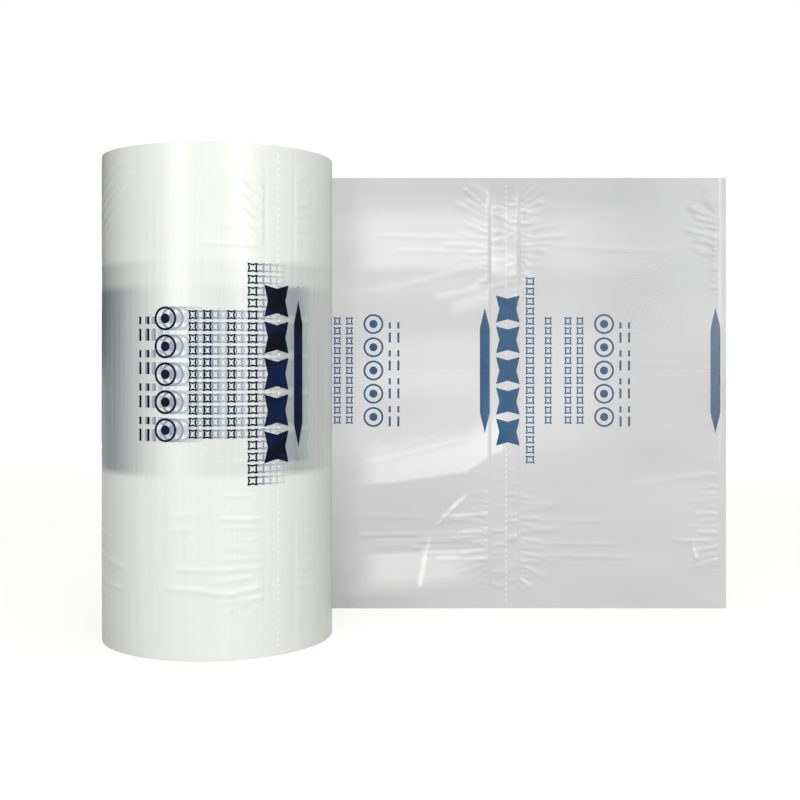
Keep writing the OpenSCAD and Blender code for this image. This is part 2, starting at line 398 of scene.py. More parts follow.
# Sum of creases over places along the web (w, a column) and heights (z, a row), each only on the
# part of the grid that it reaches, or over scattered points, where only the creases near them count
def creaseHeight(creases, w, z):
    ends, reach = creases[:, :4].reshape(-1, 2, 2), 6 * creases[:, 4:5]
    lows, highs = ends.min(1) - reach, ends.max(1) + reach
    height = np.zeros(np.broadcast(w, z).shape)
    if height.shape != (w.size, z.size):
        near = (lows < (w.max(), z.max())).all(1) & (highs > (w.min(), z.min())).all(1)
        for crease in creases[near]:
            height += oneCrease(crease, w, z)
        return height
    for crease, low, high in zip(creases, lows, highs):
        nearW = np.flatnonzero((w[:, 0] > low[0]) & (w[:, 0] < high[0]))
        nearZ = np.flatnonzero((z[0] > low[1]) & (z[0] < high[1]))
        if nearW.size and nearZ.size:
            part = (slice(nearW[0], nearW[-1] + 1), slice(nearZ[0], nearZ[-1] + 1))
            height[part] += oneCrease(crease, w[part[0]], z[:, part[1]])
    return height


gatherLook = {
    "spacing": (2.3, 3.8),  # mm from one crease to the next
    "length": (4.0, 18.0),
    "fan": 48,  # degrees at the film's edges
    "spread": 0.72,
    "strong": ((14, 24, 40, 60), (152, 168, 187, 197)),  # heights of the strong gathers, as plateaus
}


# Creases that gather at a weld line and run away from it to one side: long and level inwards, short
# and fanned out towards the film's edges
def weldGathers(weld, side, rise, seed):
    rng = np.random.default_rng(seed)
    z = 5 + np.cumsum(rng.uniform(*gatherLook["spacing"], 90))
    z = z[z < filmW - 5]
    strong = 0.08 + 0.92 * sum(plateau(*heights, z) for heights in gatherLook["strong"])
    middle = filmW / 2
    lean = (z - middle) / middle
    angle = np.radians(gatherLook["fan"]) * np.sign(lean) * smoothStep(0.62, 1.0, np.abs(lean))
    angle += rng.normal(0, 0.08, z.size)
    reach = strong * rng.uniform(0.15, 1, z.size) ** 1.5 * (1 - 0.5 * smoothStep(0.7, 0.95, np.abs(lean)))
    short, long = gatherLook["length"]
    length = short + (long - short) * reach
    start = weld + side * (weldWidth / 2 + 1.0)
    rises = rise * strong * rng.uniform(0.3, 1, z.size)
    spread = gatherLook["spread"] * rng.uniform(0.85, 1.3, z.size)
    return np.stack([
        np.full(z.size, start), z,
        start + side * length * np.cos(angle), z + length * np.sin(angle), spread, rises,
    ], -1)


shortCreases = {
    "spread": 0.62,
    "rungSpacing": (1.9, 3.1),
    "rungLength": (0.8, 2.4),
    "stripSpacing": (1.3, 3.0),
    "stripLength": (2, 5),
}


# Rungs: short steep creases that stand close together beside a weld line, most near the edges
def weldRungs(weld, side, rise, seed):
    rng = np.random.default_rng(seed)
    z = 7 + np.cumsum(rng.uniform(*shortCreases["rungSpacing"], 100))
    z = z[z < filmW - 7]
    edge = np.abs(z / filmW - 0.5) * 2
    start = weld + side * (weldWidth / 2 + 0.9)
    end = start + side * rng.uniform(*shortCreases["rungLength"], z.size)
    rises = rise * rng.uniform(0.2, 1, z.size) * plateau(0.25, 0.6, 0.86, 0.93, edge)
    spread = np.full(z.size, shortCreases["spread"])
    return np.stack([np.full(z.size, start), z, end, z - side * 0.3, spread, rises], -1)


# Short creases between the two weld lines of a pair, some on each side of the perforation
def stripCreases(mark, rise, seed):
    rng = np.random.default_rng(seed)
    z = 6 + np.cumsum(rng.uniform(*shortCreases["stripSpacing"], 120))
    z = z[z < filmW - 6]
    left = rng.uniform(0, 1, z.size) < 0.5
    start = np.where(left, mark + weldPlaces["first"] + 1.3, mark + 0.5) + rng.uniform(0, 2.2, z.size)
    last = np.where(left, mark - 0.6, mark + weldPlaces["second"] - 1.2)
    end = np.maximum(np.minimum(start + rng.uniform(*shortCreases["stripLength"], z.size), last), start + 0.5)
    edge = np.abs(z / filmW - 0.5) * 2
    rises = rise * rng.uniform(0.1, 1, z.size) * plateau(0.2, 0.62, 0.85, 0.95, edge)
    spread = np.full(z.size, shortCreases["spread"])
    return np.stack([start, z, end, z + rng.normal(0.2, 0.6, z.size), spread, rises], -1)


# All the creases of the weld pairs between two places of the web
def pairCreases(marks, low, high, rises, seed):
    sets = []
    for k, mark in enumerate(marks):
        strength = rises["marks"][k]
        welds = [mark + weldPlaces["first"], mark + weldPlaces["second"]]
        for n, (side, place) in enumerate(zip((-1, 1), welds)):
            sets.append(weldGathers(place, side, strength * rises["gather"], seed + 10 * k + n))
            sets.append(weldRungs(place, side, strength * rises["rung"], seed + 10 * k + n + 4))
        sets.append(stripCreases(mark, strength * rises["strip"], seed + 10 * k + 2))
    creases = np.concatenate(sets)
    ends = creases[:, [0, 2]]
    return creases[(ends.min(1) > low + 1) & (ends.max(1) < high - 1)]


# Share of a weld line at a place: 1 in the line, 0 beside it
def weldShare(marks, w):
    share = 0
    for mark in marks:
        for place in weldPlaces.values():
            aside = np.abs(w - mark - place)
            share = share + 1 - smoothStep(weldWidth / 2 - 0.15, weldWidth / 2 + 0.35, aside)
    return share


# Heights of the grid rows: every slit and every bridge between two slits gets two rows of cells
def slitRows():
    count = math.floor((filmW - slits["pitch"]) / slits["pitch"])
    first = (filmW - (count - 1) * slits["pitch"]) / 2
    half, bridge = slits["length"] / 2, (slits["pitch"] - slits["length"]) / 2
    middles = first + slits["pitch"] * np.arange(count)
    rows = (middles[:, None] + np.array([-half, 0, half, half + bridge])).ravel()[:-1]
    low = np.linspace(0, rows[0], 5)[:-1]
    high = np.linspace(rows[-1], filmW, 5)[1:]
    return np.concatenate([low, rows, high]), middles


# Places of the grid columns, with a column on each edge of a weld line and of a perforation. Each zone
# is (from, to, step), and the first one that holds a place gives the step there.
def gridColumns(low, high, marks, slitW, zones, step):
    anchors = [low, high] + [edge for zone in zones for edge in zone[:2]]
    for mark in marks:
        anchors += [mark - slitW, mark - slitW / 2, mark + slitW / 2, mark + slitW]
        for place in weldPlaces.values():
            anchors += [mark + place + side * (weldWidth / 2 + k) for side in (-1, 1) for k in (-0.2, 0.4)]
    anchors = sorted(a for a in anchors if low <= a <= high)
    columns = [np.array([low])]
    for start, end in zip(anchors, anchors[1:]):
        if end - start < 0.02:
            continue
        steps = [zone[2] for zone in zones if zone[0] < (start + end) / 2 < zone[1]] + [step]
        cells = math.ceil((end - start) / steps[0])
        columns.append(np.linspace(start, end, cells + 1)[1:])
    return np.concatenate(columns)


rowZ, slitMiddles = slitRows()


rollLook = {
    "turnT": 0.3,  # mm, drawn thickness of the outermost turn
    "fine": (-24, 22, 0.95),  # from, to and step of the grid beside a perforation
    "step": 1.35,
    "weldDepth": 0.05,
    "lipRise": 0.11,  # mm that the torn lips of a slit stand out
    "slackRise": 0.10,  # slow unevenness of the outermost turn
}


def rollAngle(w):  # angle from +X, in radians, of a place on the outermost turn
    return math.pi / 2 - w / rollR


def rollRadius(w):  # spiral: the radius falls by the web's thickness over the turn
    return rollR + webT * w / turnL


# Creases of the outermost turn that the gathers leave out. Place and height are given by the angle
# from +X in degrees and by z in mm: from, to, spread, rise.
rollCreases = [
    (270, 161.2, 300, 160.7, 0.5, 0.11), (277, 152, 290, 151.6, 0.6, 0.05),
    (293.5, 194.6, 300, 189.8, 0.6, 0.28), (292, 190.6, 300, 183.6, 0.62, 0.44),
    (291.4, 185.6, 300, 178.4, 0.62, 0.48), (291.2, 180.4, 300, 173, 0.62, 0.48),
    (291.6, 175.2, 300, 168.3, 0.62, 0.46), (292.4, 169.8, 300, 163.9, 0.62, 0.38),
    (293.4, 165, 300, 161.6, 0.6, 0.16), (200, 186, 226, 196, 0.6, 0.24),
    (199, 181, 230, 193, 0.6, 0.3), (200, 176.5, 231, 189, 0.6, 0.28),
    (199, 171.5, 228, 184, 0.6, 0.3), (200, 166.5, 224, 177.5, 0.6, 0.26),
    (200, 162.5, 216, 170, 0.6, 0.2), (278, 76.4, 292, 76, 0.6, 0.07),
    (281, 63.6, 294, 63.4, 0.55, 0.08), (280, 54.6, 296, 54, 0.6, 0.14),
    (281, 51.2, 295, 50.9, 0.55, 0.09), (257, 56, 266, 56.3, 0.55, 0.08),
    (257, 50.2, 266, 50.6, 0.55, 0.09), (283, 43.2, 292, 43.6, 0.6, 0.08),
    (259, 35.2, 273, 35, 0.65, 0.13), (277, 34.6, 289, 35.2, 0.65, 0.12),
    (279, 30.5, 293, 32, 0.6, 0.09), (256, 27.6, 272, 27.2, 0.7, 0.17),
    (270, 26.6, 284, 25.4, 0.8, 0.2), (284, 25.4, 297, 27.4, 0.75, 0.19),
    (280, 22.2, 298, 23.6, 0.7, 0.15), (291, 15.6, 295, 19.6, 0.55, 0.14),
    (199, 37.2, 226, 34.2, 0.7, 0.24), (199, 46.2, 213, 44.8, 0.6, 0.17),
    (200, 27, 226, 25.5, 0.7, 0.18), (20, 40, 60, 38, 0.8, 0.16),
    (130, 30, 165, 33, 0.8, 0.2), (120, 168, 150, 165, 0.8, 0.16),
]


def rollPlace(angle):  # degrees from +X, 90 to 450, to a place along the web
    return -math.radians((angle - 90) % 360) * rollR


rollRidges = np.concatenate([
    pairCreases(rollMarks, -turnL, 0, {"gather": 0.12, "rung": 0.05, "strip": 0.05, "marks": (1, 1, 1)}, 41),
    np.array([(rollPlace(a), startZ, rollPlace(b), endZ, *size) for a, startZ, b, endZ, *size in rollCreases]),
])


# Height of the outermost turn over its spiral: creases, pressed weld lines, and slow waves that
# are sums of sines of the angle and the height
def rollHeight(w, z):
    weld = weldShare(rollMarks, w)
    angle = rollAngle(w)
    slack = (np.sin(2 * angle + z / 31) + 0.6 * np.sin(5 * angle - z / 17 + 1.3)) * rollLook["slackRise"] / 2
    ends = smoothStep(0, 6, z) * smoothStep(0, 6, filmW - z)
    seam = smoothStep(0, 8, -w) * smoothStep(0, 8, w + turnL)
    height = (creaseHeight(rollRidges, w, z) * (1 - 0.85 * np.clip(weld, 0, 1)) + slack) * ends * seam
    return height - rollLook["weldDepth"] * weld * seam


def onRoll(w, z, lift):  # point of the roll at a place, a height and a lift off the surface
    return roundAxis(rollRadius(w) + rollHeight(w, z) + lift, rollAngle(w), z)


# Lips of the slits: 1 at the edges of each slit
def lipShare(marks, w, z):
    near = np.abs(z[..., None] - slitMiddles).min(-1) < slits["length"] / 2 - 0.1
    return sum(np.abs(w - mark) < 0.6 * slits["lips"] for mark in marks) * near


inkHazeLook = {
    "band": (69, 73, 152.5, 156),  # heights of the printed band, as a plateau
    "deepHead": (142, 147),  # above it only the upper turns' ink shows
    "left": (0.85, 212, 262),  # share, and the angles between which it fades out
    # share, angle and spread
    "spots": [(0.6, 317, 9), (0.27, 338, 12), (0.2, 283, 12), (0.5, 60, 22), (0.5, 175, 20)],
}


# How much ink of lower turns shows through at a place: bells over the angle, strong beside the bold
# print and left of the rings, as the turns' print runs out of step, and only within the printed band
def inkHaze(w, z):
    angle = np.degrees(rollAngle(w)) % 360
    band = plateau(*inkHazeLook["band"], z) * (1 - 0.55 * smoothStep(*inkHazeLook["deepHead"], z))
    share, full, clear = inkHazeLook["left"]
    ink = share * (1 - smoothStep(full, clear, angle)) * (angle > 90)
    for share, middle, spread in inkHazeLook["spots"]:
        ink = ink + share * bell(angle, middle, spread)
    return band * np.clip(ink, 0, 1)


# The outermost turn: a grid of place and height, bent round the spiral, and closed by an inner face
def makeOuterTurn():
    low, high, step = rollLook["fine"]
    zones = [(mark + low, mark + high, step) for mark in rollMarks]
    columns = gridColumns(-turnL, 0, rollMarks, slits["lips"], zones, rollLook["step"])[::-1]
    w, z = columns[:, None], rowZ[None, :]
    lip = lipShare(rollMarks, w, z)
    outer = onRoll(w, z, rollLook["lipRise"] * lip)
    innerZ = np.linspace(filmW, 0, 4)
    inner = roundAxis(rollRadius(w) - rollLook["turnT"], rollAngle(w), innerZ)
    points = np.concatenate([outer, inner], 1)
    piece = makePiece("outerTurn", points, ringFaces(*points.shape[:2]), woundFilm)
    blank = np.zeros(inner.shape[:2])
    addValues(piece, "haze", np.concatenate([inkHaze(w, z), blank], 1))
    addValues(piece, "lip", np.concatenate([lip, blank], 1))
    return piece


outerTurn = makeOuterTurn()


endLook = {
    "rowsPerTurn": 4,
    "footRowsPerTurn": 2,
    "around": 300,
    "dip": 0.32,  # mm that the gap between two turns is drawn deep
    "unevenness": 0.07,
    "tone": "#F2F3EF",
    "rings": 0.22,  # strength of the rings of grey that the inked turns leave on the ends
}


# The turns under the outermost one: a closed profile swept round the axis. On the ends the film's
# edges stand as rings with a dip between each two, and each ring sits a little high or low.
def makeWoundTurns():
    rng = np.random.default_rng(7)
    angle = np.linspace(math.pi / 2, 2.5 * math.pi, endLook["around"])[:, None]
    outside = rollR - webT * (angle - math.pi / 2) / (2 * math.pi) - rollLook["turnT"] - 0.02
    ringOuter = rollR - 2 * webT - 0.1
    turns = int((ringOuter - coreR) / webT)

    def endRings(rowsPerTurn, heights):  # radii of one end, and dips that are cosines of the radius
        count = turns * rowsPerTurn + 1
        radius = np.linspace(ringOuter, coreR + 0.02, count)
        step = np.arange(count)
        ripple = (1 - np.cos(2 * math.pi * step / rowsPerTurn)) / 2
        turn = np.minimum(step // rowsPerTurn, turns - 1)
        level = heights[turn] + 0.6 * endLook["unevenness"] * np.sin(2 * angle + 0.9 * turn)
        return radius + 0 * angle, endLook["dip"] * ripple + np.clip(level + 0.1, 0, 0.6)

    heights = rng.normal(0, endLook["unevenness"], turns)
    topR, topDip = endRings(endLook["rowsPerTurn"], heights)
    footR, footDip = endRings(endLook["footRowsPerTurn"], heights[::-1])
    flat = 0 * angle
    radius = np.concatenate([outside, outside, topR, footR[:, ::-1]], 1)
    height = np.concatenate([flat + 0.05, flat + filmW - 0.05, filmW - topDip, footDip[:, ::-1]], 1)
    points = roundAxis(radius, angle, height)
    piece = makePiece("woundTurns", points, ringFaces(*points.shape[:2]), filmEdges, creaseAngle=75)
    tones = np.clip(np.cumsum(rng.normal(0, 0.25, turns)) % 2 - 1, -1, 1) ** 2 + rng.uniform(0, 0.4, turns)
    turn = np.clip((ringOuter - radius) / webT, 0, turns - 1)
    addValues(piece, "haze", endLook["rings"] * np.interp(turn, np.arange(turns), tones))
    return piece


filmEdges = makeWoundFilm("polyethyleneFilmEdges", endLook["tone"])
woundTurns = makeWoundTurns()


coreLook = {
    "around": 200,
    "lead": 118,  # mm that the seam climbs in one turn round the bore
    "seamDepth": 0.22,
    "seamWidth": 0.5,
    "plies": 6,
    "edge": 0.5,
}


# Board core: a closed profile swept round the axis. A seam winds up the bore as a narrow groove,
# and the plies show on the ends as shallow rings.
def makeBoardCore():
    angle = np.linspace(0, 2 * math.pi, coreLook["around"], endpoint=False)[:, None]
    edge, wall = coreLook["edge"], coreR - boreR
    endR = np.linspace(coreR - edge, boreR + edge, 4 * coreLook["plies"] + 1)[None, :]
    plyDip = 0.1 * (1 - np.cos(2 * math.pi * coreLook["plies"] * (coreR - edge - endR) / (wall - 2 * edge))) / 2
    boreZ = np.linspace(filmW - edge, edge, 150)[None, :]
    turn = (boreZ / coreLook["lead"] - angle / (2 * math.pi)) % 1
    fromSeam = np.minimum(turn, 1 - turn) * coreLook["lead"] * 0.8
    groove = coreLook["seamDepth"] * bell(fromSeam, 0, coreLook["seamWidth"])
    flat = 0 * angle
    # the outer face hides in the film, so two rows do for it
    radius = np.concatenate([flat + coreR, flat + coreR, endR + flat, boreR + groove, endR[:, ::-1] + flat], 1)
    height = np.concatenate([
        flat + edge, flat + filmW - edge, filmW - plyDip + flat, boreZ + flat, plyDip[:, ::-1] + flat,
    ], 1)
    points = roundAxis(radius, angle, height)
    return makePiece("boardCore", points, ringFaces(*points.shape[:2]), kraftBoard, creaseAngle=60)


boardCore = makeBoardCore()


looseLook = {
    "plyGap": 0.26,  # mm from the front face of one ply to the back face of the other
    "weldGap": 0.20,
    "zones": [  # from, to, step of the grid
        (84, 93, 0.65), (94, 108, 0.95), (211, 217, 0.65), (7, 29, 2.2), (114, 137, 1.1), (221, 229, 1.1),
        (108, 148, 1.7), (209, 221, 1.7),
    ],
    "step": 3.6,
    "waveRise": 0.5,
}

# Folds of the free end: line of (place, height) points, rise in mm, spread above and below the line,
# and the places where the fold starts, is full, begins to fall off and ends
tailFolds = [
    ([(40, 157), (110, 157), (160, 152), (228, 150)], 0.85, (17, 6), (44, 68, 122, 200)),
    ([(50, 56), (61, 57.7), (74, 58.8), (92, 61.2), (108, 63.6), (119, 71)], 1.0, (15, 4.5),
     (48, 72, 109, 121)),
    ([(60, 34), (90, 35), (120, 36)], 0.4, (5, 3), (50, 74, 109, 121)),
    ([(90, 28.8), (120, 29.6)], 0.3, (4, 2.5), (84, 108, 110, 122)),
    ([(40, 9), (130, 10), (228, 12)], 0.8, (13, 4), (38, 62, 190, 226)),
    ([(136, 120), (228, 128)], 0.5, (20, 9), (128, 152, 180, 222)),
    ([(140, 84), (190, 80), (228, 86)], 0.45, (14, 9), (138, 162, 190, 228)),
    ([(140, 50), (228, 44)], 0.6, (14, 8), (128, 152, 195, 229)),
]

# Single creases of the free end: from place and height, to place and height, spread, rise
tailCreases = np.array([
    (106.7, 51.7, 95.2, 39.8, 0.7, 0.34), (90.9, 32.2, 88, 22, 0.7, 0.34),
    (88, 22, 86.3, 11.2, 0.9, 0.4), (132.3, 14.5, 136.5, 11.2, 0.6, 0.3),
    (213.5, 28.4, 214.8, 24, 0.8, 0.4), (206, 31.6, 223, 31, 0.6, 0.16),
    (60, 34, 117, 34.8, 0.7, 0.34), (66, 31.2, 117, 31.2, 0.6, 0.26),
    (84, 28, 117, 28.8, 0.65, 0.3), (88, 25.6, 117, 25.4, 0.6, 0.26),
    (96, 22.4, 117, 22.8, 0.6, 0.24), (96, 42.4, 117, 43.2, 0.65, 0.26),
    (60, 43, 86, 42, 0.8, 0.16), (66, 68, 104, 77.5, 0.9, 0.2),
    (62, 71.5, 92, 79, 0.9, 0.14), (76, 62, 74.5, 58.6, 0.7, 0.3),
    (110, 66.2, 109, 62.6, 0.7, 0.3), (84, 151.5, 112, 158, 1.1, 0.26),
    (62, 146.5, 96, 152.5, 1.2, 0.22), (70, 173, 116, 171.5, 0.8, 0.16),
    (78, 166, 117, 165.5, 0.8, 0.18), (60, 118, 84, 119, 1, 0.1),
    (150, 168, 200, 166, 1.1, 0.12), (136, 41, 170, 40.6, 0.7, 0.13),
    (134, 30.4, 176, 29.8, 0.7, 0.15), (136, 24.6, 182, 23.6, 0.7, 0.15),
    (190, 58, 222, 62, 1.2, 0.09),
])

# Painted highlights, as slivers along creases where the plies stand apart: from, to, spread, share
paintedSliverHighlights = np.array([
    (90.6, 31.4, 88.4, 23, 0.35, 1), (88.4, 23, 86.4, 12, 0.75, 1.6),
    (106.2, 51, 102, 47.4, 0.6, 1.3), (102, 47.4, 95.6, 40.4, 0.4, 0.9),
    (132.6, 14.2, 136.2, 11.4, 0.35, 1.2), (213.6, 27.4, 214.6, 24.6, 0.5, 1.3),
    (66, 30, 84, 30.2, 0.5, 0.5), (86, 33.4, 117, 33.8, 0.4, 0.6),
    (88, 27.2, 117, 27.4, 0.5, 0.7), (95, 23.8, 117, 24.2, 0.5, 0.7),
    (98, 41.2, 118, 41.8, 0.4, 0.5), (112, 150.6, 117, 154, 0.8, 0.7),
    (96, 145.6, 112, 148.6, 1.2, 0.7),
])

tailRidges = np.concatenate([
    pairCreases(tailMarks, 2, tailL, {"gather": 0.46, "rung": 0.44, "strip": 0.42, "marks": (1, 1, 0.5)}, 83),
    tailCreases,
])


# Height of the folds: each rises steeply on its lower side and falls off slowly above
def foldHeight(w, z):
    height = 0
    for line, rise, (above, below), run in tailFolds:
        offset = z - np.interp(w, *zip(*line))
        shape = np.where(offset > 0, bell(offset, 0, above), bell(offset, 0, below))
        height = height + rise * shape * plateau(*run, w)
    return height


# Sway of the whole free end towards the camera: waves that are flat at the weld lines
def tailSway(w, z):
    root = smoothStep(2, 40, w)
    calm = 1 - 0.8 * np.clip(weldShare(tailMarks, w), 0, 1)
    wave = looseLook["waveRise"] * 0.4 * np.sin(z / 23 + w / 90) * np.sin(w / 34 + 0.6)
    return root * (foldHeight(w, z) * calm + wave)


def tailFaces(w, z):  # y of the front and of the back face
    weld = np.clip(weldShare(tailMarks, w), 0, 1)
    gap = looseLook["plyGap"] + (looseLook["weldGap"] - looseLook["plyGap"]) * weld
    root = smoothStep(1, 10, w)
    ridge = creaseHeight(tailRidges, w, z) * root * (1 - 0.8 * weld)
    middle = rollR - webT / 2 - tailSway(w, z)
    return middle - gap / 2 - ridge, middle + gap / 2 - 0.75 * ridge


# Bands of painted highlight (share above 0: the film clearer) and painted shade (below 0: hazier), partly where
# plies part or cling:
# share, line of (place, height) points, and plateaus of the height over the line and of the place
paintedLightAndPartingBands = [
    (0.85, [(50, 157), (120, 158)], (-3, 3, 13, 39), (51, 69, 118, 124)),
    (0.4, [(50, 143), (120, 152)], (-3, 3, 3, 11), (57, 75, 96, 120)),
    (0.6, [(101, 136.5), (118, 142)], (-2.5, 2.5, 4.5, 7.5), (99, 105, 117, 119)),
    (1.05, [(50, 56), (61, 57.7), (74, 58.8), (92, 61.2), (108, 63.6), (119, 71), (127, 74)],
     (-1, 1, 9, 23), (55, 69, 124, 126)),
    (0.9, [(60, 10), (120, 13)], (-5, 5, 14.1, 15.9), (57, 69, 96, 120)),
    (0.4, [(60, 100), (120, 100)], (-8, 8, 20, 36), (56, 72, 108, 124)),
    (0.25, [(130, 158), (228, 156)], (-5, 5, 14, 34), (136, 156, 185, 225)),
    (0.3, [(130, 92), (228, 96)], (-8, 8, 20, 40), (134, 150, 185, 225)),
    (0.8, [(118, 155), (134, 155)], (-2, 2, 7, 15), (118, 120, 130, 132)),
    (0.4, [(118, 170), (134, 170)], (-4, 4, 13, 23), (123, 127, 130, 132)),
    # painted shadow of the roll on the free end beside it, darker low down
    (-0.8, [(0, -20), (60, -20)], (-1, 1, 30, 150), (-36, -24, 45, 63)),
    (-0.35, [(0, 75), (60, 75)], (-30, 30, 149, 151), (-36, -24, 49, 61)),
    (-0.45, [(50, -20), (100, -20)], (-1, 1, 23, 29), (43, 47, 70, 102)),
    (-0.24, [(50, -20), (228, -20)], (-1, 1, 76, 108), (35, 45, 237, 243)),
    (-0.34, [(50, 186), (228, 186)], (-8, 8, 29, 31), (35, 45, 237, 243)),
    (-0.8, [(150, 76), (228, 76)], (-26, 26, 122, 138), (148, 196, 257, 263)),
]
paintedFlankLight = 1.6  # painted highlight on a crease's upward flank and painted shade on its downward one: change of the share for each unit of slope


# The painted highlights and painted shade of all the patches, the flanks of the creases and the slivers added
# up, but for the welds
def paintedLightAndPartingShare(w, z):
    total = 0
    for share, line, rise, run in paintedLightAndPartingBands:
        above = z - np.interp(w, *zip(*line))
        total = total + share * plateau(*rise, above) * plateau(*run, w)
    weld = np.clip(weldShare(tailMarks, w), 0, 1)
    climb = np.gradient(creaseHeight(tailRidges, w, z), z[0], axis=1)
    # the creases' slope paints highlight on upward flanks and shade on downward ones
    total = total - paintedFlankLight * np.clip(climb, -0.5, 0.5) + creaseHeight(paintedSliverHighlights, w, z)
    return np.clip(total, -1.2, 1.7) * (1 - weld) - 0.3 * weld


def onTail(w, z, lift):  # point on the back face, with a lift off it
    back = tailFaces(w, z)[1] + lift
    return np.stack([w + 0 * back, back, z + 0 * back], -1)


# The free end: a front and a back grid of place and height, with a hole through both at each slit
def makeLooseEnd():
    columns = gridColumns(-2.5, tailL, tailMarks, slits["width"], looseLook["zones"], looseLook["step"])
    w, z = columns[:, None], rowZ[None, :]
    front, back = tailFaces(w, z)
    bend = np.minimum(w, 0) ** 2 / (2 * rollR) + 0 * z  # the root follows the roll's curve
    bury = 0.12 * (w < 0)
    grids = [np.stack([w + 0 * y, y - bend - bury, z + 0 * y], -1) for y in (front, back)]
    middleW, middleZ = (columns[1:] + columns[:-1]) / 2, (rowZ[1:] + rowZ[:-1]) / 2
    inSlit = np.abs(middleZ[:, None] - slitMiddles).min(1) < slits["length"] / 2
    onMark = np.abs(middleW[:, None] - tailMarks).min(1) < slits["width"] / 2
    keep = ~(onMark[:, None] & inSlit[None, :])
    piece = makePiece("looseEnd", np.stack(grids), shellFaces(*front.shape, keep=keep), clearFilm)
    # painted highlights and painted shade, with the plies' parting, stored per vertex for the film's opacity
    addValues(piece, "parted", np.stack([paintedLightAndPartingShare(w, z)] * 2))
    return piece


looseEnd = makeLooseEnd()


# The print is a generic pattern: bars, pillows, chains of small pillows, spotted rings and dashes.
# Places are mm from a perforation, and heights are mm from the middle of the printed band.
printLayout = {
    "middle": 110.5,
    "bar": {"place": -9.8, "width": 4.6, "length": 58},
    "marks": {"place": 0.9, "width": 11, "height": 12.6, "pitch": 14.3, "count": 5, "waist": 1.5},
    "chains": [(11.2, 4.2, 88), (19.6, 3.4, 51), (28.8, 3.4, 51), (34.4, 3.4, 51)],  # place, width, length
    "link": {"pitch": 4.6, "gap": 0.8, "line": 0.7, "waist": 0.4},
    "rings": {"place": 45.6, "diameter": 9.3, "line": 0.9, "spot": 3.8, "pitch": 10.8, "count": 5},
    "fineRows": {"places": (53.2, 57.2), "width": 1.0, "length": 52, "pitch": 6.5, "gap": 1.8},
}


def flatGrid(across, up):  # grid of u and v from -1 to 1
    return np.meshgrid(np.linspace(-1, 1, across), np.linspace(-1, 1, up), indexing="ij")


def barGrid(bar):  # a bar of even width that narrows to its tips
    u, v = flatGrid(5, 41)
    tip = 2 * bar["width"]
    half = bar["width"] / 2 * np.clip((1 - np.abs(v)) * bar["length"] / 2 / tip, 0.03, 1)
    return np.stack([u * half, v * bar["length"] / 2], -1)


def pillowGrid(width, height, waist, across=11, up=13):  # a rectangle whose sides draw in by the waist
    u, v = flatGrid(across, up)
    return np.stack([u * (width / 2 - waist * (1 - np.abs(v))), v * (height / 2 - waist * (1 - np.abs(u)))], -1)


# Outline of a small pillow: its edge, run round counter-clockwise, and a second one a line's width in
def linkGrid(width, link):
    side = np.linspace(-1, 1, 5)[:-1]
    u = np.concatenate([side, 1 + 0 * side, -side, -1 + 0 * side])
    v = np.concatenate([-1 + 0 * side, side, 1 + 0 * side, -side])
    rows = []
    for inset in (0, link["line"]):
        halfW, halfH = width / 2 - inset, (link["pitch"] - link["gap"]) / 2 - inset
        rows.append(np.stack([u * (halfW - link["waist"] * (1 - np.abs(v))),
                              v * (halfH - link["waist"] * (1 - np.abs(u)))], -1))
    return np.stack(rows, 1)


def ringGrid(diameter, line):  # a flat ring, as angle by radius
    angle = np.linspace(0, 2 * math.pi, 40, endpoint=False)[:, None]
    radius = diameter / 2 - line * np.array([[0, 0.5, 1]])
    return np.stack([radius * np.cos(angle), radius * np.sin(angle)], -1)


def spotGrid(diameter):  # a disc, as a square grid drawn out to the circle
    u, v = flatGrid(9, 9)
    return diameter / 2 * np.stack([u * np.sqrt(1 - v * v / 2), v * np.sqrt(1 - u * u / 2)], -1)


def columnOf(count, pitch):  # middles of a centred column
    return (np.arange(count) - (count - 1) / 2) * pitch


# The whole print as (place, reach, grid, heights, closed round): the same grid at several heights
def printShapes():
    bar, marks, rings, link = (printLayout[k] for k in ("bar", "marks", "rings", "link"))
    fine = printLayout["fineRows"]
    shapes = [
        (bar["place"], bar["width"], barGrid(bar), np.zeros(1), False),
        (marks["place"], marks["width"], pillowGrid(marks["width"], marks["height"], marks["waist"]),
         columnOf(marks["count"], marks["pitch"]), False),
    ]
    for place, width, length in printLayout["chains"]:
        links = columnOf(int(length / link["pitch"]), link["pitch"])
        shapes.append((place, width, linkGrid(width, link), links, True))
    place, diameter, ringColumn = rings["place"], rings["diameter"], columnOf(rings["count"], rings["pitch"])
    shapes.append((place, diameter, ringGrid(diameter, rings["line"]), ringColumn, True))
    shapes.append((place, diameter, spotGrid(rings["spot"]), ringColumn, False))
    dashes = int(fine["length"] / fine["pitch"])
    u, v = flatGrid(2, 5)
    for place in fine["places"]:
        for odd in (0, 1):
            dash = fine["pitch"] - fine["gap"] * (1 + odd)
            starts = (np.arange(odd, dashes, 2) - dashes / 2) * fine["pitch"]
            grid = np.stack([u * fine["width"] / 2, (v + 1) * dash / 2], -1)
            shapes.append((place, fine["width"], grid, starts, False))
    return shapes


